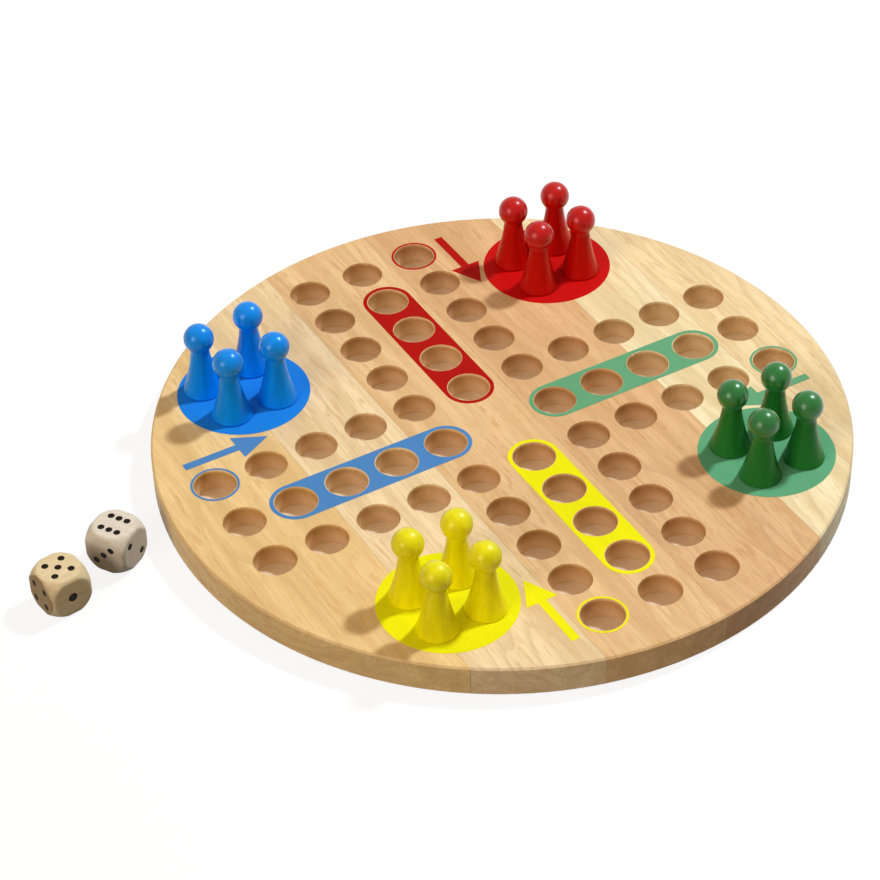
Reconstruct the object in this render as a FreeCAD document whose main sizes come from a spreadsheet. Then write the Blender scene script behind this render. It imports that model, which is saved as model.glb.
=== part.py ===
import FreeCAD, Part
import math
import os

import Sketcher

# A round wooden ludo board with its set of pawns and dice.
# The board is glued up edge to edge from staves, cut round, and drilled with blind peg holes.
# Each player's colour is printed on it as a house disc, a start ring, a home strip and an arrow.
# Millimetres; the origin is the centre of the board's underside, +Z is up.
# +Y runs along the red arm and -X along the blue arm, so the yellow arm is -Y and the green +X.

SIZES = (
    ("board_diameter", 250.0, "round board, edge to edge"),
    ("board_thickness", 12.0, "top face to underside"),
    ("edge_chamfer", 0.7, "eased rim edges, top and bottom"),
    ("panel_trim", 5.0, "waste of the glued panel outside the round"),
    ("glue_line_1", -72.7, "place of the first glue line, across the grain from the centre"),
    ("glue_line_2", -32.7, "second glue line"),
    ("glue_line_3", 12.0, "third glue line"),
    ("glue_line_4", 60.3, "fourth glue line, which runs through the green arm's holes"),
    ("glue_line_5", 91.4, "fifth glue line"),
    ("hole_diameter", 15.2, "peg hole"),
    ("hole_depth", 8.5, "peg hole, flat bottom"),
    ("hole_pitch", 20.0, "hole to hole along an arm"),
    ("side_row", 22.7, "side row of an arm to its centre row, and first hole to the board's centre"),
    ("print_thickness", 0.1, "layer of printed colour"),
    ("print_clearance", 0.25, "bare wood left round a hole in a print"),
    ("ring_band", 0.8, "width of a start ring's line"),
    ("strip_width", 18.6, "home strip"),
    ("arrow_gap", 6.1, "edge of the side row's holes to the arrow's centre line"),
    ("arrow_length", 33.0, "tail to tip"),
    ("arrow_shaft_width", 3.2, "arrow's line"),
    ("arrow_head_length", 12.0, "arrow head, tip to barbs"),
    ("arrow_head_width", 12.0, "arrow head, barb to barb"),
    ("house_diameter", 48.4, "house disc"),
    ("house_gap", 2.6, "arrow's centre line to the house disc's side"),
    ("barb_gap", 2.1, "arrow's barb to the house disc"),
    ("rim_margin", 5.8, "house disc to the rim"),
    ("pawn_fit", 0.2, "pawn's base to the wall of a hole, all round"),
    ("pawn_gap", 3.7, "base to base of neighbouring pawns in a house"),
    ("pawn_height", 28.7, "foot to top of head"),
    ("pawn_head_diameter", 11.0, "ball head"),
    ("pawn_neck_diameter", 6.9, "under the head"),
    ("pawn_neck_height", 17.3, "where the flare ends in the straight neck"),
    ("pawn_flare_radius", 70.0, "hollow curve of the body"),
    ("pawn_foot_rounding", 0.6, "eased edge of the foot"),
    ("stray_pawn_shift", 2.4, "how far two of the blue pawns stand outside their square"),
    ("die_size", 16.0, "face to face"),
    ("die_edge_rounding", 1.6, "along the edges"),
    ("die_corner_diameter", 21.8, "ball that the corners are tumbled to"),
    ("pip_offset", 3.2, "pip's row to the middle of its face"),
    ("pip_diameter", 2.5, "drilled pip at the face"),
    ("one_pip_diameter", 3.4, "the single pip of the one"),
    ("pip_depth", 0.6, "drilled pip"),
    ("die_rim_gap", 8.0, "near die's circle to the rim"),
    ("die_pair_gap", 1.7, "circle of one die to that of the other"),
    ("near_die_bearing", 172.75, "degrees about the board's centre, from +X"),
    ("near_die_yaw", -57.8, "degrees about the die's own upright axis"),
    ("far_die_bearing", 177.2, "degrees about the board's centre, from +X"),
    ("far_die_yaw", 7.9, "degrees about the die's own upright axis"),
)

COLOURS = ("red", "blue", "yellow", "green")  # each a quarter turn on from the last
SIDE_HOLES = 5  # holes in each side row of an arm, the corner hole among them
HOME_HOLES = 4  # holes in an arm's home strip, inside its one outer centre hole

# Expressions that pieces share
BOARD_RADIUS = "Sizes.board_diameter / 2"
HOLE_RADIUS = "Sizes.hole_diameter / 2"
PRINT_HOLE_RADIUS = f"({HOLE_RADIUS} + Sizes.print_clearance)"
ARROW_LINE = f"(Sizes.side_row + {HOLE_RADIUS} + Sizes.arrow_gap)"
HOUSE_RADIUS = "Sizes.house_diameter / 2"
HOUSE_ACROSS = f"({ARROW_LINE} + Sizes.house_gap + {HOUSE_RADIUS})"
HOUSE_REACH = f"({BOARD_RADIUS} - Sizes.rim_margin - {HOUSE_RADIUS})"
HOUSE_ALONG = f"sqrt({HOUSE_REACH}^2 - {HOUSE_ACROSS}^2)"
PAWN_BASE_RADIUS = f"({HOLE_RADIUS} - Sizes.pawn_fit)"
PAWN_HALF_SPACING = f"({PAWN_BASE_RADIUS} + Sizes.pawn_gap / 2)"
DIE_CIRCLE_RADIUS = "Sizes.die_size * sqrt(2) / 2"
NEAR_DIE_REACH = f"({BOARD_RADIUS} + Sizes.die_rim_gap + {DIE_CIRCLE_RADIUS})"
FAR_DIE_REACH = f"({NEAR_DIE_REACH} + Sizes.die_pair_gap + 2 * {DIE_CIRCLE_RADIUS})"

ORIGIN = (-1, 1)  # a sketch's origin point
UPRIGHT = -2  # a sketch's vertical axis
START, END, CENTRE = 1, 2, 3  # points of a sketch's line, arc or circle

doc = FreeCAD.newDocument("LudoBoard")
pieces = []


def fill_sheet():
    """Put the driving dimensions in a sheet, one named cell each."""
    sheet = doc.addObject("Spreadsheet::Sheet", "Sizes")
    for line, (alias, size, meaning) in enumerate(SIZES, 1):
        sheet.set(f"A{line}", str(size))
        sheet.setAlias(f"A{line}", alias)
        sheet.set(f"B{line}", meaning)
    doc.recompute()
    return sheet


sheet = fill_sheet()


def number(expression):
    """The present value of an expression, in millimetres or degrees."""
    result = sheet.evalExpression(expression)
    return float(getattr(result, "Value", result))


def bind(thing, **expressions):
    """Tie properties of an object to expressions, with double underscores for dots."""
    for path, expression in expressions.items():
        thing.setExpression(path.replace("__", "."), expression)
    return thing


def place(thing, across="0", along="0", up="0"):
    """Tie an object's position to expressions along X, Y and Z."""
    return bind(thing, Placement__Base__x=across, Placement__Base__y=along, Placement__Base__z=up)


def keep(thing, label):
    """Name an object as one of the finished pieces."""
    thing.Label = label
    pieces.append(thing)


def row(step):
    """Distance from the board's centre of a hole that is so many steps out along an arm."""
    return f"(Sizes.side_row + {step} * Sizes.hole_pitch)"


def new_body(name):
    """An empty body."""
    return doc.addObject("PartDesign::Body", name)


def new_sketch(body, plane):
    """A sketch on one of the body's own origin planes."""
    sketch = body.newObject("Sketcher::SketchObject", body.Name + "Sketch")
    support = [feature for feature in body.Origin.OriginFeatures if feature.Role == plane]
    sketch.AttachmentSupport = [(support[0], "")]
    sketch.MapMode = "FlatFace"
    return sketch


def constrain(sketch, kind, *points):
    """Add a constraint that has no size."""
    sketch.addConstraint(Sketcher.Constraint(kind, *points))


def measure(sketch, kind, *points, size):
    """Add a constraint whose size is an expression."""
    index = sketch.addConstraint(Sketcher.Constraint(kind, *points, number(size)))
    sketch.setExpression(f"Constraints[{index}]", size)


def spot(across, along):
    """A point in a sketch at the present values of two expressions."""
    return FreeCAD.Vector(number(across), number(along), 0)


def add_circle(sketch, across, along, radius):
    """A circle with its centre at (across, along), where across may be zero or start with a minus."""
    circle = Part.Circle(spot(across, along), FreeCAD.Vector(0, 0, 1), number(radius))
    index = sketch.addGeometry(circle, False)
    if across == "0":
        constrain(sketch, "PointOnObject", index, CENTRE, UPRIGHT)
    elif across.startswith("-"):
        measure(sketch, "DistanceX", index, CENTRE, *ORIGIN, size=across[1:])
    else:
        measure(sketch, "DistanceX", *ORIGIN, index, CENTRE, size=across)
    measure(sketch, "DistanceY", *ORIGIN, index, CENTRE, size=along)
    measure(sketch, "Radius", index, size=radius)


def add_polygon(sketch, corners):
    """A closed outline of straight lines, each corner a pair of expressions right of and above the origin."""
    points = [spot(*corner) for corner in corners]
    count = len(points)
    for index in range(count):
        sketch.addGeometry(Part.LineSegment(points[index], points[(index + 1) % count]), False)
    for index, (across, along) in enumerate(corners):
        constrain(sketch, "Coincident", index, END, (index + 1) % count, START)
        measure(sketch, "DistanceX", *ORIGIN, index, START, size=across)
        measure(sketch, "DistanceY", *ORIGIN, index, START, size=along)


def pad(body, sketch, length):
    """Raise a sketch into a solid."""
    feature = body.newObject("PartDesign::Pad", body.Name + "Pad")
    feature.Profile = sketch
    bind(feature, Length=length)
    doc.recompute()
    return feature


def edge_names(shape, picked):
    """Names of the edges of a shape that the test picks."""
    return [f"Edge{index}" for index, edge in enumerate(shape.Edges, 1) if picked(edge)]


# The board: a round panel with every hole, sawn apart again at its glue lines


def drilled_panel():
    """The round panel with its rim eased and its holes drilled, one arm's holes repeated for each arm."""
    body = new_body("Panel")
    outline = new_sketch(body, "XY_Plane")
    disc = Part.Circle(FreeCAD.Vector(), FreeCAD.Vector(0, 0, 1), number(BOARD_RADIUS))
    index = outline.addGeometry(disc, False)
    constrain(outline, "Coincident", index, CENTRE, *ORIGIN)
    measure(outline, "Radius", index, size=BOARD_RADIUS)
    round_slab = pad(body, outline, "Sizes.board_thickness")
    eased = body.newObject("PartDesign::Chamfer", "EasedRim")
    eased.Base = (round_slab, edge_names(round_slab.Shape, lambda edge: isinstance(edge.Curve, Part.Circle)))
    bind(eased, Size="Sizes.edge_chamfer")
    doc.recompute()

    drilling = new_sketch(body, "XY_Plane")
    bind(drilling, AttachmentOffset__Base__z="Sizes.board_thickness")
    for step in range(SIDE_HOLES):
        add_circle(drilling, "0", row(step), HOLE_RADIUS)
        add_circle(drilling, "Sizes.side_row", row(step), HOLE_RADIUS)
        if step > 0:
            add_circle(drilling, "-Sizes.side_row", row(step), HOLE_RADIUS)
    holes = body.newObject("PartDesign::Pocket", "Drilling")
    holes.Profile = drilling
    bind(holes, Length="Sizes.hole_depth")
    doc.recompute()

    arms = body.newObject("PartDesign::PolarPattern", "Arms")
    arms.Originals = [holes]
    upright = [feature for feature in body.Origin.OriginFeatures if feature.Role == "Z_Axis"]
    arms.Axis = (upright[0], [""])
    arms.Angle = 360
    arms.Occurrences = len(COLOURS)
    body.Tip = arms
    doc.recompute()
    return body


def board_staves():
    """The staves between the glue lines, of which the outer two run out to the rim."""
    panel = drilled_panel()
    panel_edge = f"({BOARD_RADIUS} + Sizes.panel_trim)"
    glue_lines = [f"Sizes.{alias}" for alias, _, _ in SIZES if alias.startswith("glue_line")]
    seams = [f"-{panel_edge}", *glue_lines, panel_edge]
    for count, (left, right) in enumerate(zip(seams, seams[1:]), 1):
        plank = doc.addObject("Part::Box", f"Plank{count}")
        bind(plank, Length=f"{right} - ({left})", Width=f"2 * {panel_edge}", Height="Sizes.board_thickness")
        place(plank, left, f"-{panel_edge}")
        stave = doc.addObject("Part::Common", f"Stave{count}")
        stave.Base = panel
        stave.Tool = plank
        keep(stave, f"board_stave_{count}")


# The prints, drawn on the red arm and turned to the others


def draw_house(sketch):
    """The disc where a player's pawns wait."""
    add_circle(sketch, HOUSE_ACROSS, HOUSE_ALONG, HOUSE_RADIUS)


def draw_start(sketch):
    """The thin ring round the hole where a player comes in."""
    start_hole = ("Sizes.side_row", row(SIDE_HOLES - 1))
    add_circle(sketch, *start_hole, PRINT_HOLE_RADIUS)
    add_circle(sketch, *start_hole, f"{PRINT_HOLE_RADIUS} + Sizes.ring_band")


def draw_home(sketch):
    """The round-ended strip about the home holes."""
    inner, outer = row(0), row(HOME_HOLES - 1)
    half_width = "Sizes.strip_width / 2"
    radius = number(half_width)
    low, high = number(inner), number(outer)
    up = FreeCAD.Vector(0, 0, 1)
    inner_end = Part.ArcOfCircle(Part.Circle(spot("0", inner), up, radius), math.pi, 2 * math.pi)
    outer_end = Part.ArcOfCircle(Part.Circle(spot("0", outer), up, radius), 0, math.pi)
    right_side = Part.LineSegment(FreeCAD.Vector(radius, low), FreeCAD.Vector(radius, high))
    left_side = Part.LineSegment(FreeCAD.Vector(-radius, high), FreeCAD.Vector(-radius, low))
    first, right, last, left = sketch.addGeometry([inner_end, right_side, outer_end, left_side], False)
    for one, other in ((first, right), (right, last), (last, left), (left, first)):
        constrain(sketch, "Tangent", one, END, other, START)
    for arc, distance in ((first, inner), (last, outer)):
        constrain(sketch, "PointOnObject", arc, CENTRE, UPRIGHT)
        measure(sketch, "DistanceY", *ORIGIN, arc, CENTRE, size=distance)
    measure(sketch, "Radius", first, size=half_width)
    for step in range(HOME_HOLES):
        add_circle(sketch, "0", row(step), PRINT_HOLE_RADIUS)


def draw_arrow(sketch):
    """The arrow beside the arm, pointing the way that the pawns set off."""
    half_shaft, half_head = "Sizes.arrow_shaft_width / 2", "Sizes.arrow_head_width / 2"
    # The arrow lies where the barb on the house's side just clears the house disc
    barb_to_house = f"({HOUSE_ACROSS} - {ARROW_LINE} - {half_head})"
    barbs = f"({HOUSE_ALONG} + sqrt(({HOUSE_RADIUS} + Sizes.barb_gap)^2 - {barb_to_house}^2))"
    tip = f"({barbs} - Sizes.arrow_head_length)"
    tail = f"({tip} + Sizes.arrow_length)"
    corners = (
        (ARROW_LINE, tip),
        (f"{ARROW_LINE} + {half_head}", barbs),
        (f"{ARROW_LINE} + {half_shaft}", barbs),
        (f"{ARROW_LINE} + {half_shaft}", tail),
        (f"{ARROW_LINE} - {half_shaft}", tail),
        (f"{ARROW_LINE} - {half_shaft}", barbs),
        (f"{ARROW_LINE} - {half_head}", barbs),
    )
    add_polygon(sketch, corners)


def colour_prints():
    """Each colour's four printed fields, lying on the board's top face."""
    fields = {"house": draw_house, "start": draw_start, "home": draw_home, "arrow": draw_arrow}
    for quarter, colour in enumerate(COLOURS):
        for field, draw in fields.items():
            body = new_body(f"{colour.title()}{field.title()}")
            sketch = new_sketch(body, "XY_Plane")
            draw(sketch)
            pad(body, sketch, "Sizes.print_thickness")
            turn = 360 / len(COLOURS) * quarter
            body.Placement.Rotation = FreeCAD.Rotation(FreeCAD.Vector(0, 0, 1), turn)
            place(body, up="Sizes.board_thickness")
            keep(body, f"{colour}_{field}_print")


# The pawns, turned in one piece


def draw_pawn(sketch):
    """Half the pawn's section: foot, hollow flare, straight neck and ball head."""
    rounding = number("Sizes.pawn_foot_rounding")
    base, height = number(PAWN_BASE_RADIUS), number("Sizes.pawn_height")
    head_radius = "Sizes.pawn_head_diameter / 2"
    neck_radius = "Sizes.pawn_neck_diameter / 2"
    ball, neck, shoulder = number(head_radius), number(neck_radius), number("Sizes.pawn_neck_height")
    ball_centre = height - ball
    chin = math.asin(neck / ball)
    up = FreeCAD.Vector(0, 0, 1)

    foot_edge = FreeCAD.Vector(base, rounding)
    neck_end = FreeCAD.Vector(neck, shoulder)
    jaw = FreeCAD.Vector(neck, ball_centre - ball * math.cos(chin))
    top = FreeCAD.Vector(0, height)

    # The flare's circle stands outside the pawn, level with the middle of the flare's chord
    chord = neck_end - foot_edge
    flare = number("Sizes.pawn_flare_radius")
    outward = FreeCAD.Vector(chord.y, -chord.x) / chord.Length
    standoff = math.sqrt(flare**2 - (chord.Length / 2) ** 2)
    flare_centre = (foot_edge + neck_end) / 2 + outward * standoff
    start_ray, end_ray = neck_end - flare_centre, foot_edge - flare_centre
    start_angle = math.atan2(start_ray.y, start_ray.x) % (2 * math.pi)
    end_angle = math.atan2(end_ray.y, end_ray.x) % (2 * math.pi)

    outline = [
        Part.LineSegment(FreeCAD.Vector(), FreeCAD.Vector(base - rounding, 0)),
        Part.ArcOfCircle(
            Part.Circle(FreeCAD.Vector(base - rounding, rounding), up, rounding), -math.pi / 2, 0
        ),
        Part.ArcOfCircle(Part.Circle(flare_centre, up, flare), start_angle, end_angle),
        Part.LineSegment(neck_end, jaw),
        Part.ArcOfCircle(
            Part.Circle(FreeCAD.Vector(0, ball_centre), up, ball), chin - math.pi / 2, math.pi / 2
        ),
        Part.LineSegment(top, FreeCAD.Vector()),
    ]
    sole, foot, hollow, collar, head, axis = sketch.addGeometry(outline, False)

    constrain(sketch, "Coincident", sole, START, *ORIGIN)
    constrain(sketch, "Horizontal", sole)
    constrain(sketch, "Tangent", sole, END, foot, START)
    measure(sketch, "Radius", foot, size="Sizes.pawn_foot_rounding")
    measure(sketch, "DistanceX", *ORIGIN, foot, END, size=PAWN_BASE_RADIUS)
    measure(sketch, "DistanceY", *ORIGIN, foot, END, size="Sizes.pawn_foot_rounding")
    constrain(sketch, "Coincident", hollow, END, foot, END)
    constrain(sketch, "Coincident", hollow, START, collar, START)
    measure(sketch, "Radius", hollow, size="Sizes.pawn_flare_radius")
    measure(sketch, "DistanceX", *ORIGIN, collar, START, size=neck_radius)
    measure(sketch, "DistanceY", *ORIGIN, collar, START, size="Sizes.pawn_neck_height")
    constrain(sketch, "Vertical", collar)
    constrain(sketch, "Coincident", collar, END, head, START)
    constrain(sketch, "PointOnObject", head, CENTRE, UPRIGHT)
    constrain(sketch, "Coincident", head, END, axis, START)
    constrain(sketch, "PointOnObject", axis, START, UPRIGHT)
    measure(sketch, "DistanceY", *ORIGIN, axis, START, size="Sizes.pawn_height")
    measure(sketch, "Radius", head, size=head_radius)
    constrain(sketch, "Coincident", axis, END, *ORIGIN)


def turned_pawn(label, across, along):
    """One pawn, standing on the print of its house."""
    body = new_body(label.title().replace("_", ""))
    sketch = new_sketch(body, "XZ_Plane")
    draw_pawn(sketch)
    turning = body.newObject("PartDesign::Revolution", body.Name + "Turning")
    turning.Profile = sketch
    turning.ReferenceAxis = (sketch, ["V_Axis"])
    turning.Angle = 360
    doc.recompute()
    place(body, across, along, "Sizes.board_thickness + Sizes.print_thickness")
    keep(body, label)


def pawns():
    """Four pawns to a colour, in a square about the middle of their house."""
    houses = (
        (HOUSE_ACROSS, HOUSE_ALONG),
        (f"-{HOUSE_ALONG}", HOUSE_ACROSS),
        (f"-{HOUSE_ACROSS}", f"-{HOUSE_ALONG}"),
        (HOUSE_ALONG, f"-{HOUSE_ACROSS}"),
    )
    square = (("+", "+"), ("-", "+"), ("-", "-"), ("+", "-"))
    for colour, (house_across, house_along) in zip(COLOURS, houses):
        for count, (side, end) in enumerate(square, 1):
            label = f"{colour}_pawn_{count}"
            across = f"{house_across} {side} {PAWN_HALF_SPACING}"
            along = f"{house_along} {end} {PAWN_HALF_SPACING}"
            if label == "blue_pawn_1":
                along += " + Sizes.stray_pawn_shift"
            if label == "blue_pawn_2":
                across += " - Sizes.stray_pawn_shift"
            turned_pawn(label, across, along)


# The dice, lying on the table beside the board

PIP_PATTERNS = {
    1: ((0, 0),),
    2: ((-1, 1), (1, -1)),
    3: ((-1, -1), (0, 0), (1, 1)),
    4: ((-1, -1), (-1, 1), (1, -1), (1, 1)),
    5: ((-1, -1), (-1, 1), (0, 0), (1, -1), (1, 1)),
    6: ((-1, -1), (0, -1), (1, -1), (-1, 1), (0, 1), (1, 1)),
}
# Each side of a die: the way that it faces, and the two ways across it
DIE_SIDES = {
    "top": ((0, 0, 1), (1, 0, 0), (0, 1, 0)),
    "bottom": ((0, 0, -1), (1, 0, 0), (0, 1, 0)),
    "right": ((1, 0, 0), (0, 1, 0), (0, 0, 1)),
    "left": ((-1, 0, 0), (0, 1, 0), (0, 0, 1)),
    "back": ((0, 1, 0), (1, 0, 0), (0, 0, 1)),
    "front": ((0, -1, 0), (1, 0, 0), (0, 0, 1)),
}


def die_cube(name):
    """The die's cube with its edges eased, its underside on the table."""
    body = new_body(name + "Cube")
    sketch = new_sketch(body, "XY_Plane")
    half = number("Sizes.die_size / 2")
    ring = [FreeCAD.Vector(x * half, y * half) for x, y in ((-1, -1), (1, -1), (1, 1), (-1, 1))]
    for index in range(4):
        sketch.addGeometry(Part.LineSegment(ring[index], ring[(index + 1) % 4]), False)
    for index, way in enumerate(("Horizontal", "Vertical", "Horizontal", "Vertical")):
        constrain(sketch, "Coincident", index, END, (index + 1) % 4, START)
        constrain(sketch, way, index)
    constrain(sketch, "Symmetric", 0, START, 2, START, *ORIGIN)
    measure(sketch, "DistanceX", 0, START, 0, END, size="Sizes.die_size")
    measure(sketch, "DistanceY", 1, START, 1, END, size="Sizes.die_size")
    block = pad(body, sketch, "Sizes.die_size")
    rounded = body.newObject("PartDesign::Fillet", name + "Rounding")
    rounded.Base = (block, edge_names(block.Shape, lambda edge: True))
    bind(rounded, Radius="Sizes.die_edge_rounding")
    doc.recompute()
    return body


def die_pips(name, sides):
    """The cones that a drill's point leaves as pips, so many to each side."""
    half = "Sizes.die_size / 2"
    cones = []
    for side, count in sides.items():
        facing, across, along = DIE_SIDES[side]
        width = "Sizes.one_pip_diameter" if count == 1 else "Sizes.pip_diameter"
        for u, v in PIP_PATTERNS[count]:
            where = [
                f"{facing[axis]} * ({half} - Sizes.pip_depth)"
                f" + {u * across[axis] + v * along[axis]} * Sizes.pip_offset"
                for axis in range(3)
            ]
            cone = doc.addObject("Part::Cone", name + "Pip")
            cone.Radius1 = 0
            bind(cone, Radius2=width, Height="2 * Sizes.pip_depth")
            cone.Placement.Rotation = FreeCAD.Rotation(FreeCAD.Vector(0, 0, 1), FreeCAD.Vector(facing))
            place(cone, where[0], where[1], f"{where[2]} + {half}")
            cones.append(cone)
    return cones


def die(label, sides, reach, bearing, yaw):
    """One die, with its corners tumbled round and its pips drilled, at a bearing from the board's centre."""
    name = label.title().replace("_", "")
    corner_ball = doc.addObject("Part::Sphere", name + "Ball")
    bind(corner_ball, Radius="Sizes.die_corner_diameter / 2")
    place(corner_ball, up="Sizes.die_size / 2")
    tumbled = doc.addObject("Part::Common", name + "Tumbled")
    tumbled.Base = die_cube(name)
    tumbled.Tool = corner_ball
    drilling = doc.addObject("Part::Compound", name + "Drilling")
    drilling.Links = die_pips(name, sides)
    finished = doc.addObject("Part::Cut", name)
    finished.Base = tumbled
    finished.Tool = drilling
    bind(finished, Placement__Rotation__Angle=yaw)
    place(finished, f"{reach} * cos({bearing})", f"{reach} * sin({bearing})")
    keep(finished, label)


def dice():
    """The pair as they lie: one near the rim, the other beyond it."""
    near_sides = {"top": 6, "bottom": 1, "front": 3, "back": 4, "right": 2, "left": 5}
    far_sides = {"top": 5, "bottom": 2, "front": 1, "back": 6, "right": 3, "left": 4}
    die("near_die", near_sides, NEAR_DIE_REACH, "Sizes.near_die_bearing", "Sizes.near_die_yaw")
    die("far_die", far_sides, FAR_DIE_REACH, "Sizes.far_die_bearing", "Sizes.far_die_yaw")


def check_document():
    """Stop if any object failed, or a piece isn't one sound solid."""
    doc.recompute()
    for thing in doc.Objects:
        if "Invalid" in thing.State or "Error" in thing.State:
            raise RuntimeError(f"{thing.Label} failed: {thing.State}")
    for piece in pieces:
        shape = piece.Shape
        if shape.isNull() or not shape.isValid() or len(shape.Solids) != 1:
            raise RuntimeError(f"{piece.Label} isn't one valid solid")


def write_pieces():
    """One file for each piece, under its own name."""
    os.makedirs("parts", exist_ok=True)
    for piece in pieces:
        piece.Shape.exportStep(f"parts/{piece.Label}.step")


board_staves()
colour_prints()
pawns()
dice()
check_document()
write_pieces()
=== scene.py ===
import math

import bmesh
import bpy
from mathutils import Matrix, Vector


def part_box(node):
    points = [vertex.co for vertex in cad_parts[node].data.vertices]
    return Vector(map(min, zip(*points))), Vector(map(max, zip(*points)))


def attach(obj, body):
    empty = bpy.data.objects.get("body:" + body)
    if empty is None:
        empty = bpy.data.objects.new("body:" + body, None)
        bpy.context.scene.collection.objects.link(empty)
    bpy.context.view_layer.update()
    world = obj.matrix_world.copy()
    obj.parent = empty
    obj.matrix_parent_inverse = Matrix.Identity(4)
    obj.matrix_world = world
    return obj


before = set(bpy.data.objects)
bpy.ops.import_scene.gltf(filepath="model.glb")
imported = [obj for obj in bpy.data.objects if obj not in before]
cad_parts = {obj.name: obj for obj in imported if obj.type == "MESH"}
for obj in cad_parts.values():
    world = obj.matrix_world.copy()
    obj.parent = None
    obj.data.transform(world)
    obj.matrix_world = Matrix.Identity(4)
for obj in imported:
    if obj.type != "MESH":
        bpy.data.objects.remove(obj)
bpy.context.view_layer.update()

# Looks of the round wooden ludo board: wood, ink, lacquer and paint, a pale floor, studio light and camera.
# Metres, in the frame of the solids: the origin is the centre of the board's underside, +Z is up.

COLOURS = ("red", "blue", "yellow", "green")
STAVES = [f"board_stave_{count}" for count in range(1, 7)]
FIELDS = ("house", "start", "home", "arrow")

BOARD_LOW = Vector([min(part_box(stave)[0][axis] for stave in STAVES) for axis in range(3)])
BOARD_HIGH = Vector([max(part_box(stave)[1][axis] for stave in STAVES) for axis in range(3)])
BOARD_RADIUS = (BOARD_HIGH.y - BOARD_LOW.y) / 2
BOARD_TOP = BOARD_HIGH.z
HOLE_DEPTH = 0.0085
NECK_HEIGHT = 0.017  # where the thicker lacquer of a pawn's head begins, above the board's top
NECK_BLEND = 0.004

# The dice as drilled: face to face, pip rows, pips, and how far each is turned about its upright axis
DIE_SIZE = 0.016
PIP_OFFSET = 0.0032
PIP_RADIUS = 0.00125
ONE_PIP_RADIUS = 0.0017
PIP_DEPTH = 0.0006
PIP_CORNERS = 28
PIP_MARGIN = 0.00002  # paint to the drilled cone
# The paint's dished face: shares of the pip's radius and depth, and its depth in the middle
PAINT_EDGE = 0.3
PAINT_LEVELS = ((0.8, 0.42), (0.4, 0.62))
PAINT_HOLLOW = 0.68
DIE_YAWS = {"near_die": math.radians(-57.8), "far_die": math.radians(7.9)}


def screen(red, green, blue):
    """A colour as a screen shows it, 0 to 255, turned into linear light."""
    channels = [channel / 255 for channel in (red, green, blue)]
    linear = [c / 12.92 if c <= 0.04045 else ((c + 0.055) / 1.055) ** 2.4 for c in channels]
    return (*linear, 1.0)


# Each stave's tone, from the blue side of the board to the green
STAVE_TONES = {
    "board_stave_1": screen(252, 217, 154),
    "board_stave_2": screen(254, 227, 181),
    "board_stave_3": screen(245, 206, 152),
    "board_stave_4": screen(235, 191, 140),
    "board_stave_5": screen(255, 237, 191),
    "board_stave_6": screen(249, 224, 175),
}
DRILLED_TONE = screen(253, 236, 208)
INK_TONES = {
    "red": screen(184, 12, 3),
    "blue": screen(82, 141, 203),
    "yellow": screen(252, 247, 4),
    "green": screen(104, 170, 124),
}
HOUSE_TONES = {
    "red": screen(202, 6, 4),
    "blue": screen(26, 134, 232),
    "yellow": screen(247, 243, 2),
    "green": screen(98, 172, 126),
}
LACQUER_TONES = {
    "red": screen(200, 12, 4),
    "blue": screen(0, 150, 255),
    "yellow": screen(255, 243, 2),
    "green": screen(34, 120, 46),
}
# How thick the lacquer lies on the heads, and how rough it dried
HEAD_COATS = {"red": (0.6, 0.28), "blue": (0.5, 0.27), "yellow": (0.5, 0.38), "green": (1.0, 0.30)}
DIE_TONES = {"near_die": screen(241, 232, 216), "far_die": screen(248, 228, 184)}
DIE_END_GRAIN_AND_SHADE = {"near_die": 0.1, "far_die": 0.9}  # how far each die's end-grain sides are browned: darker end grain, and painted shade, strongest on the far die
PIP_TONE = screen(36, 27, 20)
WHITE = (1.0, 1.0, 1.0, 1.0)
NOISE_SPAN = (0.3, 0.7)  # where most of a noise's values lie


# Shader helpers


def new_material(name):
    """An empty node material and its tree."""
    material = bpy.data.materials.new(name)
    material.use_nodes = True
    material.node_tree.nodes.clear()
    return material, material.node_tree


def add(tree, kind, sockets=None, **settings):
    """A node with its settings made, and each named or numbered socket set or linked."""
    made = tree.nodes.new(kind)
    for key, value in settings.items():
        setattr(made, key, value)
    for key, value in (sockets or {}).items():
        if isinstance(value, bpy.types.NodeSocket):
            tree.links.new(value, made.inputs[key])
        else:
            made.inputs[key].default_value = value
    return made


def maths(tree, operation, *values):
    """The result of a sum on numbers or sockets."""
    return add(tree, "ShaderNodeMath", dict(enumerate(values)), operation=operation).outputs[0]


def span(tree, value, low, high, start=0.0, end=1.0):
    """A value taken smoothly from one span to another, and held at the ends."""
    sockets = {"Value": value, "From Min": low, "From Max": high, "To Min": start, "To Max": end}
    return add(tree, "ShaderNodeMapRange", sockets, interpolation_type="SMOOTHSTEP").outputs[0]


def blend(tree, factor, first, second, mode="MIX"):
    """Two colours mixed by a factor."""
    made = add(tree, "ShaderNodeMix", {0: factor, 6: first, 7: second}, data_type="RGBA", blend_type=mode)
    return made.outputs[2]


def blend_number(tree, factor, first, second):
    """Two numbers mixed by a factor."""
    return add(tree, "ShaderNodeMix", {0: factor, 2: first, 3: second}, data_type="FLOAT").outputs[0]


def noise(tree, coordinates, size, detail=2.0, roughness=0.5):
    """Noise whose blotches are about the given size along X, Y and Z."""
    stretched = add(
        tree,
        "ShaderNodeVectorMath",
        {0: coordinates, 1: [1 / length for length in size]},
        operation="MULTIPLY",
    ).outputs[0]
    sockets = {"Vector": stretched, "Scale": 1.0, "Detail": detail, "Roughness": roughness}
    return add(tree, "ShaderNodeTexNoise", sockets).outputs[0]


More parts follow.
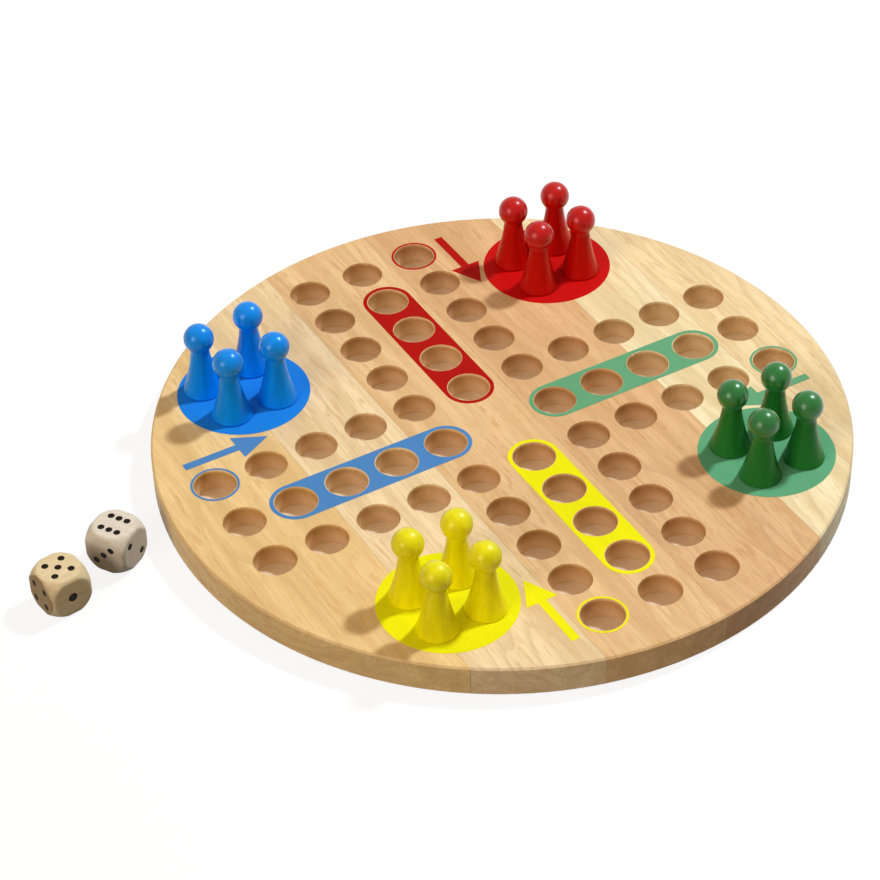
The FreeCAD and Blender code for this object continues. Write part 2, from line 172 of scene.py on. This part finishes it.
def grain_coordinates(tree, offset, turn=0.0):
    """The piece's own coordinates, moved so that each piece shows other wood, and turned about Z."""
    place = add(tree, "ShaderNodeTexCoord").outputs["Object"]
    sockets = {"Vector": place, "Location": offset, "Rotation": (0.0, 0.0, turn)}
    return add(tree, "ShaderNodeMapping", sockets).outputs[0]


def finish_material(tree, shader):
    """Join a shader to the material's output."""
    add(tree, "ShaderNodeOutputMaterial", {"Surface": shader})


def scaled(tone, factor):
    """A colour made lighter or darker."""
    return (*[channel * factor for channel in tone[:3]], 1.0)


def tinted(tone, tint):
    """A colour times a tint."""
    return (*[channel * share for channel, share in zip(tone, tint)], 1.0)


def grey(level):
    """A plain grey."""
    return (level, level, level, 1.0)


# Wood

# Sizes in the grain, across it and along it
DRIFT_GRAIN = (0.03, 0.12)
BAND_GRAIN = (0.007, 0.16)
FIBRE_GRAIN = (0.0008, 0.03)
PORE_GRAIN = (0.0006, 0.006)
RING_GRAIN = (0.020, 0.20)
RING_PATCH_GRAIN = (0.030, 0.09)
FLECK_PATCH_GRAIN = (0.018, 0.05)
FLECK_GRAIN = (0.0015, 0.011)
GRAIN_BEND = 0.012  # how far the grain wanders to its sides
RING_LINES = 11.0  # ring lines over the whole span of the noise
MOTTLE_SIZE = (0.02, 0.035, 0.02)
# The span of the noise in which each part goes from none to full
BAND_SPAN = (0.32, 0.70)
FIBRE_SPAN = (0.42, 0.68)
PORE_SPAN = (0.58, 0.72)
RING_SPAN = (0.55, 0.95)
RING_PATCH_SPAN = (0.40, 0.62)
FLECK_PATCH_SPAN = (0.40, 0.60)
FLECK_SPAN = (0.54, 0.66)
MOTTLE_SPAN = (0.35, 0.7)
# Darker parts of the wood: a tint on the bare tone, and how strongly each part shows
EARLY_SHADE = 1.05
MOTTLE_SHADE = 0.90
RING_SHADE = 0.9
LATE_TINT = (0.82, 0.75, 0.66)
FLECK_TINT = (0.78, 0.66, 0.52)
PORE_TINT = (0.64, 0.52, 0.42)
# The dice's end-grain sides: the darker end grain, with painted shade in it
END_GRAIN_AND_SHADE_TINT = (0.34, 0.25, 0.13)
MOTTLE_SHARE = 0.30
FIBRE_SHARE = 0.6
RING_SHARE = 0.5
FLECK_SHARE = 0.75
PORE_SHARE = 0.26
WOOD_BUMP = 0.35
WOOD_RELIEF = 0.00008
WOOD_SHEEN_SPREAD = 0.07
EDGE_SAMPLES = 8

STAVE_STEP = (0.31, 0.17, 0.05)  # from one stave's place in the grain to the next one's
GLUE_LINE = (0.00005, 0.0004)  # from the joint, where the dark line is full and where it ends
GLUE_SHARE = 0.14
GLUE_SHADE = 0.5
RIM_WIDTH = 0.004  # no hole comes nearer to the rim
UNDERSIDE_EDGE = 0.001
MOUTH_EDGES = (0.0015, 0.0002)  # below the top, where a hole's wall is full and where it begins
HOLE_FLOOR_EDGE = 0.0002
# Painted shade inside the holes, multiplied over the wood: darkest just under the mouth, lighter down the
# wall, lightest on the floor
WALL_HIGH_PAINTED_SHADE = (0.60, 0.47, 0.35, 1.0)
WALL_LOW_PAINTED_SHADE = (0.89, 0.80, 0.71, 1.0)
HOLE_FLOOR_PAINTED_SHADE = (1.0, 0.98, 0.94, 1.0)
# The paler drilled wood's share at a hole's floor; it grows with depth, which paints the hole lighter lower
# down
DRILLED_WOOD_AND_LIGHT_SHARE = 0.85

DIE_GRAIN_PLACE = (0.4, 0.2, 0.1)
DIE_FINENESS = 3.0
DIE_PLAIN_SHARE = 0.45  # how far the sanding evens out the grain
DIE_END_SPAN = (0.6, 0.95)  # how squarely a face looks along the grain where the browned end-grain sides begin and are full
DIE_ROUGHNESS = 0.45
DIE_SOFTENING = 0.002
DIE_GLOSS = 0.08


def wood_grain(tree, coordinates, along, fineness=1.0):
    """Bands, fibres, pores, ring lines and flecks of the wood, 0 to 1.

    The grain runs along one axis (0, 1 or 2).
    """

    def stretched(across, length):
        return [(length if axis == along else across) / fineness for axis in range(3)]

    drift = noise(tree, coordinates, stretched(*DRIFT_GRAIN))
    shift = maths(tree, "MULTIPLY", maths(tree, "SUBTRACT", drift, 0.5), GRAIN_BEND / fineness)
    push = add(tree, "ShaderNodeCombineXYZ", {axis: shift for axis in range(3) if axis != along}).outputs[0]
    bent = add(tree, "ShaderNodeVectorMath", {0: coordinates, 1: push}, operation="ADD").outputs[0]
    bands = noise(tree, bent, stretched(*BAND_GRAIN), detail=3.0, roughness=0.55)
    fibres = noise(tree, bent, stretched(*FIBRE_GRAIN), detail=3.0, roughness=0.6)
    pores = span(tree, noise(tree, bent, stretched(*PORE_GRAIN), detail=1.0), *PORE_SPAN)
    hills = noise(tree, bent, stretched(*RING_GRAIN), detail=1.0)
    steps = maths(tree, "FRACT", maths(tree, "MULTIPLY", hills, RING_LINES))
    patches = span(tree, noise(tree, coordinates, stretched(*RING_PATCH_GRAIN)), *RING_PATCH_SPAN)
    rings = maths(tree, "MULTIPLY", span(tree, steps, *RING_SPAN), patches)
    clusters = span(tree, noise(tree, coordinates, stretched(*FLECK_PATCH_GRAIN)), *FLECK_PATCH_SPAN)
    dashes = span(tree, noise(tree, bent, stretched(*FLECK_GRAIN), detail=2.0), *FLECK_SPAN)
    flecks = maths(tree, "MULTIPLY", dashes, clusters)
    return {"bands": bands, "fibres": fibres, "pores": pores, "rings": rings, "flecks": flecks}


def wood_colour(tree, grain, tone, coordinates):
    """The colour of bare wood from its grain."""
    early = scaled(tone, EARLY_SHADE)
    late = tinted(tone, LATE_TINT)
    colour = blend(tree, span(tree, grain["bands"], *BAND_SPAN), early, late)
    mottle = noise(tree, coordinates, MOTTLE_SIZE, detail=2.0)
    mottling = span(tree, mottle, *MOTTLE_SPAN, 0.0, MOTTLE_SHARE)
    colour = blend(tree, mottling, colour, scaled(tone, MOTTLE_SHADE))
    colour = blend(tree, span(tree, grain["fibres"], *FIBRE_SPAN, 0.0, FIBRE_SHARE), colour, late)
    rings = maths(tree, "MULTIPLY", grain["rings"], RING_SHARE)
    colour = blend(tree, rings, colour, scaled(late, RING_SHADE))
    flecks = maths(tree, "MULTIPLY", grain["flecks"], FLECK_SHARE)
    colour = blend(tree, flecks, colour, tinted(tone, FLECK_TINT))
    pores = maths(tree, "MULTIPLY", grain["pores"], PORE_SHARE)
    return blend(tree, pores, colour, tinted(tone, PORE_TINT))


def wood_surface(tree, grain, colour, roughness=0.5, softening=0.0003, gloss=0.25):
    """A satin wooden surface, its edges eased and its pores and fibres standing out a little."""
    relief = maths(tree, "SUBTRACT", maths(tree, "MULTIPLY", grain["fibres"], 0.5), grain["pores"])
    eased = add(tree, "ShaderNodeBevel", {"Radius": softening}, samples=EDGE_SAMPLES).outputs[0]
    sockets = {"Strength": WOOD_BUMP, "Distance": WOOD_RELIEF, "Height": relief, "Normal": eased}
    bump = add(tree, "ShaderNodeBump", sockets).outputs[0]
    smooth, rough = roughness - WOOD_SHEEN_SPREAD, roughness + WOOD_SHEEN_SPREAD
    sheen = span(tree, grain["fibres"], *NOISE_SPAN, smooth, rough)
    sockets = {"Base Color": colour, "Roughness": sheen, "Normal": bump, "Specular IOR Level": gloss}
    return add(tree, "ShaderNodeBsdfPrincipled", sockets).outputs[0]


def stave_material(stave):
    """One stave's wood, its own tone and dark glue joints; in the holes, drilled wood and painted shade."""
    count = STAVES.index(stave) + 1
    material, tree = new_material(f"{stave}_wood")
    tone = STAVE_TONES[stave]
    coordinates = grain_coordinates(tree, [step * count for step in STAVE_STEP])
    grain = wood_grain(tree, coordinates, along=1)
    colour = wood_colour(tree, grain, tone, coordinates)

    place = add(tree, "ShaderNodeTexCoord").outputs["Object"]
    axes = add(tree, "ShaderNodeSeparateXYZ", {0: place}).outputs
    low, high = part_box(stave)
    for edge, outer in ((low.x, BOARD_LOW.x), (high.x, BOARD_HIGH.x)):
        if edge == outer:
            continue
        gap = maths(tree, "ABSOLUTE", maths(tree, "SUBTRACT", axes[0], edge))
        line = span(tree, gap, *GLUE_LINE, GLUE_SHARE, 0.0)
        colour = blend(tree, line, colour, scaled(tone, GLUE_SHADE))

    flat = add(tree, "ShaderNodeCombineXYZ", {0: axes[0], 1: axes[1]}).outputs[0]
    reach = add(tree, "ShaderNodeVectorMath", {0: flat}, operation="LENGTH").outputs["Value"]
    inside = maths(tree, "LESS_THAN", reach, BOARD_RADIUS - RIM_WIDTH)
    raised = maths(tree, "GREATER_THAN", axes[2], BOARD_LOW.z + UNDERSIDE_EDGE)
    sunk = span(tree, axes[2], *[BOARD_TOP - edge for edge in MOUTH_EDGES], 1.0, 0.0)
    hole = maths(tree, "MULTIPLY", maths(tree, "MULTIPLY", inside, raised), sunk)
    # Inside a hole: paler drilled wood, more of it lower down, under painted shade darkest just under the
    # mouth and lightest on the floor
    depth = span(tree, axes[2], BOARD_TOP, BOARD_TOP - HOLE_DEPTH)
    wall = blend(tree, depth, WALL_HIGH_PAINTED_SHADE, WALL_LOW_PAINTED_SHADE)
    bottom = maths(tree, "LESS_THAN", axes[2], BOARD_TOP - HOLE_DEPTH + HOLE_FLOOR_EDGE)
    painted_hole_shade = blend(tree, bottom, wall, HOLE_FLOOR_PAINTED_SHADE)
    drilled_wood_and_painted_light = blend(tree, maths(tree, "MULTIPLY", depth, DRILLED_WOOD_AND_LIGHT_SHARE), colour, DRILLED_TONE)
    colour = blend(tree, hole, colour, blend(tree, 1.0, drilled_wood_and_painted_light, painted_hole_shade, mode="MULTIPLY"))
    finish_material(tree, wood_surface(tree, grain, colour))
    return material


def die_material(die):
    """A die's pale sanded wood, grain across it; its end-grain sides darker end grain with painted shade."""
    material, tree = new_material(f"{die}_wood")
    coordinates = grain_coordinates(tree, DIE_GRAIN_PLACE, turn=-DIE_YAWS[die])
    grain = wood_grain(tree, coordinates, along=0, fineness=DIE_FINENESS)
    tone = DIE_TONES[die]
    colour = blend(tree, DIE_PLAIN_SHARE, wood_colour(tree, grain, tone, coordinates), tone)
    facing = add(tree, "ShaderNodeTexCoord").outputs["Normal"]
    way = (math.cos(DIE_YAWS[die]), math.sin(DIE_YAWS[die]), 0.0)
    endways = add(tree, "ShaderNodeVectorMath", {0: facing, 1: way}, operation="DOT_PRODUCT").outputs["Value"]
    # Painted shade on the end-grain sides, over the darker end grain, strongest on the far die
    ends = span(tree, maths(tree, "ABSOLUTE", endways), *DIE_END_SPAN, 0.0, DIE_END_GRAIN_AND_SHADE[die])
    colour = blend(tree, ends, colour, tinted(tone, END_GRAIN_AND_SHADE_TINT))
    finish_material(tree, wood_surface(tree, grain, colour, DIE_ROUGHNESS, DIE_SOFTENING, DIE_GLOSS))
    return material


# Ink, lacquer and paint

INK_GRAIN_PLACE = (0.13, 0.07, 0.0)
INK_BAND_SHARE = 0.5
INK_BAND_SHADE = 0.90
INK_PORE_SHARE = 0.25
INK_PORE_SHADE = 0.65
INK_BUMP = 0.25
INK_RELIEF = 0.00005
INK_SHEEN = (0.46, 0.58)
INK_GLOSS = 0.10

LACQUER_GRAIN_PLACE = (0.05, 0.09, 0.0)
LACQUER_FIBRE_SIZE = (0.0022, 0.0022, 0.04)
TURNING_MARK_SIZE = (0.02, 0.02, 0.0011)
LACQUER_FIBRE_SPAN = (0.35, 0.65)
LACQUER_FIBRE_SHARE = 0.7
LACQUER_FIBRE_SHADE = 0.84
LACQUER_BUMP = 0.12
LACQUER_RELIEF = 0.0001
LACQUER_SHEEN = (0.20, 0.28)
LACQUER_GLOSS = 0.45
BODY_COAT = 0.12

PIP_BLOTCH_SIZE = (0.0006, 0.0006, 0.0006)
PIP_SHADES = (0.7, 1.5)
PIP_SHEEN = (0.35, 0.55)
PIP_GLOSS = 0.12


def ink_material(name, tone):
    """Printed colour, thin enough that the wood's pores show in it."""
    material, tree = new_material(name)
    coordinates = grain_coordinates(tree, INK_GRAIN_PLACE)
    grain = wood_grain(tree, coordinates, along=1)
    bands = span(tree, grain["bands"], *NOISE_SPAN, 0.0, INK_BAND_SHARE)
    shade = blend(tree, bands, tone, scaled(tone, INK_BAND_SHADE))
    pores = maths(tree, "MULTIPLY", grain["pores"], INK_PORE_SHARE)
    shade = blend(tree, pores, shade, scaled(tone, INK_PORE_SHADE))
    relief = maths(tree, "SUBTRACT", maths(tree, "MULTIPLY", grain["fibres"], 0.4), grain["pores"])
    sockets = {"Strength": INK_BUMP, "Distance": INK_RELIEF, "Height": relief}
    bump = add(tree, "ShaderNodeBump", sockets).outputs[0]
    sheen = span(tree, grain["fibres"], *NOISE_SPAN, *INK_SHEEN)
    sockets = {"Base Color": shade, "Roughness": sheen, "Normal": bump, "Specular IOR Level": INK_GLOSS}
    finish_material(tree, add(tree, "ShaderNodeBsdfPrincipled", sockets).outputs[0])
    return material


def lacquer_material(colour):
    """Glossy lacquer, thickest on the head, over turned wood.

    Faint fibres show along the wood, and turning marks round it.
    """
    material, tree = new_material(f"{colour}_lacquer")
    tone = LACQUER_TONES[colour]
    coordinates = grain_coordinates(tree, LACQUER_GRAIN_PLACE)
    fibres = noise(tree, coordinates, LACQUER_FIBRE_SIZE, detail=2.0)
    rings = noise(tree, coordinates, TURNING_MARK_SIZE, detail=1.0)
    streaks = span(tree, fibres, *LACQUER_FIBRE_SPAN, 0.0, LACQUER_FIBRE_SHARE)
    shade = blend(tree, streaks, tone, scaled(tone, LACQUER_FIBRE_SHADE))
    relief = maths(tree, "ADD", fibres, maths(tree, "MULTIPLY", rings, 0.6))
    sockets = {"Strength": LACQUER_BUMP, "Distance": LACQUER_RELIEF, "Height": relief}
    bump = add(tree, "ShaderNodeBump", sockets).outputs[0]
    sheen = span(tree, fibres, *NOISE_SPAN, *LACQUER_SHEEN)
    height = add(tree, "ShaderNodeSeparateXYZ", {0: coordinates}).outputs[2]
    coat, coat_roughness = HEAD_COATS[colour]
    neck = BOARD_TOP + NECK_HEIGHT
    thick = span(tree, height, neck, neck + NECK_BLEND, BODY_COAT, coat)
    sockets = {
        "Base Color": shade,
        "Roughness": sheen,
        "Normal": bump,
        "Specular IOR Level": LACQUER_GLOSS,
        "Specular Tint": tone,
        "Coat Weight": thick,
        "Coat Roughness": coat_roughness,
    }
    finish_material(tree, add(tree, "ShaderNodeBsdfPrincipled", sockets).outputs[0])
    return material


def pip_material():
    """Black paint, uneven where it dried in the pip."""
    material, tree = new_material("pip_paint")
    coordinates = grain_coordinates(tree, (0.0, 0.0, 0.0))
    blotches = noise(tree, coordinates, PIP_BLOTCH_SIZE)
    shade = blend(tree, blotches, *[scaled(PIP_TONE, shade) for shade in PIP_SHADES])
    sheen = span(tree, blotches, *NOISE_SPAN, *PIP_SHEEN)
    sockets = {"Base Color": shade, "Roughness": sheen, "Specular IOR Level": PIP_GLOSS}
    finish_material(tree, add(tree, "ShaderNodeBsdfPrincipled", sockets).outputs[0])
    return material


# Paint in the dice's pips

PIP_PATTERNS = {
    1: ((0, 0),),
    2: ((-1, 1), (1, -1)),
    3: ((-1, -1), (0, 0), (1, 1)),
    4: ((-1, -1), (-1, 1), (1, -1), (1, 1)),
    5: ((-1, -1), (-1, 1), (0, 0), (1, -1), (1, 1)),
    6: ((-1, -1), (0, -1), (1, -1), (-1, 1), (0, 1), (1, 1)),
}
# Each side of a die: the way that it faces, and the two ways across it
DIE_SIDES = {
    "top": ((0, 0, 1), (1, 0, 0), (0, 1, 0)),
    "bottom": ((0, 0, -1), (1, 0, 0), (0, 1, 0)),
    "right": ((1, 0, 0), (0, 1, 0), (0, 0, 1)),
    "left": ((-1, 0, 0), (0, 1, 0), (0, 0, 1)),
    "back": ((0, 1, 0), (1, 0, 0), (0, 0, 1)),
    "front": ((0, -1, 0), (1, 0, 0), (0, 0, 1)),
}
DIE_COUNTS = {
    "near_die": {"top": 6, "bottom": 1, "front": 3, "back": 4, "right": 2, "left": 5},
    "far_die": {"top": 5, "bottom": 2, "front": 1, "back": 6, "right": 3, "left": 4},
}


def add_pip_paint(mesh, place, facing, radius):
    """A blob of paint that lines one drilled cone up to its edge and lies dished in it."""
    turn = Vector((0, 0, 1)).rotation_difference(facing).to_matrix()
    rim = radius - PIP_MARGIN
    levels = [(rim, -PAINT_EDGE * PIP_MARGIN)]
    levels += [(share * rim, -depth * PIP_DEPTH) for share, depth in PAINT_LEVELS]
    rings = []
    for reach, height in levels:
        ring = []
        for step in range(PIP_CORNERS):
            angle = 2 * math.pi * step / PIP_CORNERS
            spot = Vector((reach * math.cos(angle), reach * math.sin(angle), height))
            ring.append(mesh.verts.new(place + turn @ spot))
        rings.append(ring)
    hollow = mesh.verts.new(place + turn @ Vector((0, 0, -PAINT_HOLLOW * PIP_DEPTH)))
    point = mesh.verts.new(place + turn @ Vector((0, 0, PIP_MARGIN - PIP_DEPTH)))
    for step in range(PIP_CORNERS):
        after = (step + 1) % PIP_CORNERS
        for outer, inner in zip(rings, rings[1:]):
            mesh.faces.new((outer[step], outer[after], inner[after], inner[step]))
        mesh.faces.new((rings[-1][step], rings[-1][after], hollow))
        mesh.faces.new((rings[0][after], rings[0][step], point))


def paint_pips(die, material):
    """All the paint in one die's pips, as one piece that moves with the die."""
    low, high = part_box(die)
    turned = Matrix.Rotation(DIE_YAWS[die], 3, "Z")
    middle = Vector(((low.x + high.x) / 2, (low.y + high.y) / 2, low.z + DIE_SIZE / 2))
    mesh = bmesh.new()
    for side, count in DIE_COUNTS[die].items():
        facing, across, along = (Vector(way) for way in DIE_SIDES[side])
        radius = ONE_PIP_RADIUS if count == 1 else PIP_RADIUS
        for u, v in PIP_PATTERNS[count]:
            spot = facing * DIE_SIZE / 2 + (across * u + along * v) * PIP_OFFSET
            add_pip_paint(mesh, middle + turned @ spot, turned @ facing, radius)
    data = bpy.data.meshes.new(f"{die}_pip_paint")
    mesh.to_mesh(data)
    mesh.free()
    for face in data.polygons:
        face.use_smooth = True
    paint = bpy.data.objects.new(f"{die}_pip_paint", data)
    bpy.context.scene.collection.objects.link(paint)
    data.materials.append(material)
    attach(paint, die)


# Dressing the solids


def dress(node, material):
    """Give a solid its material."""
    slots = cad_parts[node].data.materials
    slots.clear()
    slots.append(material)


def dress_all():
    """Every solid's material, and the paint in the dice."""
    for stave in STAVES:
        dress(stave, stave_material(stave))
    for colour in COLOURS:
        ink = ink_material(f"{colour}_ink", INK_TONES[colour])
        for field in FIELDS:
            dress(f"{colour}_{field}_print", ink)
        dress(f"{colour}_house_print", ink_material(f"{colour}_house_ink", HOUSE_TONES[colour]))
        lacquer = lacquer_material(colour)
        for count in range(1, 5):
            dress(f"{colour}_pawn_{count}", lacquer)
    paint = pip_material()
    for die in DIE_YAWS:
        dress(die, die_material(die))
        paint_pips(die, paint)


# Studio

FLOOR_SIZE = 8.0
FLOOR_DROP = 0.0001
FLOOR_CLOUD_SIZE = (0.3, 0.3, 0.3)
FLOOR_GREYS = (0.05, 0.07)  # as it lights the board, so that little colour comes back up from it
FLOOR_SEEN_GREYS = (0.16, 0.18)  # as it is seen, over its own glow
FLOOR_GLOW = 0.86
KEY_PLACE = Vector((0.952, 0.092, 1.282))  # the key lamp, from where the pawns' shadows fall
KEY_POWER = 76.0
KEY_TINT = (0.83, 0.92, 1.0)
KEY_RADIUS = 0.07
FILL_WAY = Vector((-0.85, -0.30, 0.43))  # towards the fill light, from the lighter rim on that side
FILL_STRENGTH = 1.25
FILL_TINT = (1.0, 0.90, 0.80)
FILL_SPREAD = math.radians(30.0)
SKY_LOW = 0.14  # the light from low down, and from the soft light overhead
SKY_HIGH = 0.80
SKY_EDGES = (0.75, 0.95)  # how high on the sky's ball the overhead light begins and is full
SKY_LOW_TINT = (1.0, 0.74, 0.48, 1.0)
SKY_HIGH_TINT = (1.0, 0.86, 0.74, 1.0)
SKY_MIRRORED = 0.7  # the white studio as a glossy surface shows it


def pale_floor():
    """A white table top that keeps a pale shadow."""
    material, tree = new_material("floor")
    place = add(tree, "ShaderNodeTexCoord").outputs["Object"]
    cloud = noise(tree, place, FLOOR_CLOUD_SIZE)
    shade = blend(tree, cloud, *[grey(level) for level in FLOOR_GREYS])
    bare = add(tree, "ShaderNodeBsdfDiffuse", {"Color": shade}).outputs[0]
    soft = blend(tree, cloud, *[grey(level) for level in FLOOR_SEEN_GREYS])
    softened = add(tree, "ShaderNodeBsdfDiffuse", {"Color": soft}).outputs[0]
    glow = add(tree, "ShaderNodeEmission", {"Color": WHITE, "Strength": FLOOR_GLOW}).outputs[0]
    lit = add(tree, "ShaderNodeAddShader", {0: softened, 1: glow}).outputs[0]
    rays = add(tree, "ShaderNodeLightPath").outputs
    seen = maths(tree, "MAXIMUM", rays["Is Camera Ray"], rays["Is Glossy Ray"])
    finish_material(tree, add(tree, "ShaderNodeMixShader", {0: seen, 1: bare, 2: lit}).outputs[0])
    data = bpy.data.meshes.new("floor")
    half = FLOOR_SIZE / 2
    corners = [(x * half, y * half, -FLOOR_DROP) for x, y in ((-1, -1), (1, -1), (1, 1), (-1, 1))]
    data.from_pydata(corners, [], [(0, 1, 2, 3)])
    data.materials.append(material)
    floor = bpy.data.objects.new("floor", data)
    bpy.context.scene.collection.objects.link(floor)


def sky():
    """Warm light from all round, strongest overhead.

    It is white where the camera or a glossy surface sees it.
    """
    world = bpy.data.worlds.new("studio")
    world.use_nodes = True
    tree = world.node_tree
    tree.nodes.clear()
    rays = add(tree, "ShaderNodeLightPath").outputs
    mirrored = rays["Is Glossy Ray"]
    seen = rays["Is Camera Ray"]
    white = maths(tree, "MAXIMUM", seen, mirrored)
    way = add(tree, "ShaderNodeTexCoord").outputs["Generated"]
    height = add(tree, "ShaderNodeSeparateXYZ", {0: way}).outputs[2]
    overhead = span(tree, height, *SKY_EDGES)
    light = blend_number(tree, overhead, SKY_LOW, SKY_HIGH)
    warmth = blend(tree, overhead, SKY_LOW_TINT, SKY_HIGH_TINT)
    strength = blend_number(tree, seen, blend_number(tree, mirrored, light, SKY_MIRRORED), 1.0)
    tint = blend(tree, white, warmth, WHITE)
    glow = add(tree, "ShaderNodeBackground", {"Color": tint, "Strength": strength}).outputs[0]
    add(tree, "ShaderNodeOutputWorld", {"Surface": glow})
    bpy.context.scene.world = world


def key_lamp():
    """The main lamp, a round one above the green arm."""
    data = bpy.data.lights.new("key", "POINT")
    data.energy = KEY_POWER
    data.color = KEY_TINT
    data.shadow_soft_size = KEY_RADIUS
    made = bpy.data.objects.new("key", data)
    made.location = KEY_PLACE
    bpy.context.scene.collection.objects.link(made)


def fill_lamp():
    """A broad, warmer lamp far off on the other side."""
    data = bpy.data.lights.new("fill", "SUN")
    data.energy = FILL_STRENGTH
    data.color = FILL_TINT
    data.angle = FILL_SPREAD
    made = bpy.data.objects.new("fill", data)
    made.rotation_euler = FILL_WAY.to_track_quat("Z", "Y").to_euler()
    made.location = FILL_WAY
    bpy.context.scene.collection.objects.link(made)


CAMERA_PLACE = Vector((-0.38108, -0.64262, 0.63488))
CAMERA_AIM = Vector((-0.02374, 0.00242, 0.012))
CAMERA_ROLL = math.radians(-1.69)
CAMERA_LENS_MM = 111.32
SENSOR_MM = 36.0
CLIP_START = 0.01


def camera():
    """The photograph's viewpoint."""
    data = bpy.data.cameras.new("camera")
    data.sensor_width = SENSOR_MM
    data.lens = CAMERA_LENS_MM
    data.clip_start = CLIP_START
    made = bpy.data.objects.new("camera", data)
    level = (CAMERA_AIM - CAMERA_PLACE).to_track_quat("-Z", "Y").to_matrix().to_4x4()
    made.matrix_world = Matrix.Translation(CAMERA_PLACE) @ level @ Matrix.Rotation(CAMERA_ROLL, 4, "Z")
    bpy.context.scene.collection.objects.link(made)
    bpy.context.scene.camera = made


dress_all()
pale_floor()
sky()
key_lamp()
fill_lamp()
camera()
bpy.context.scene.view_settings.view_transform = "Standard"
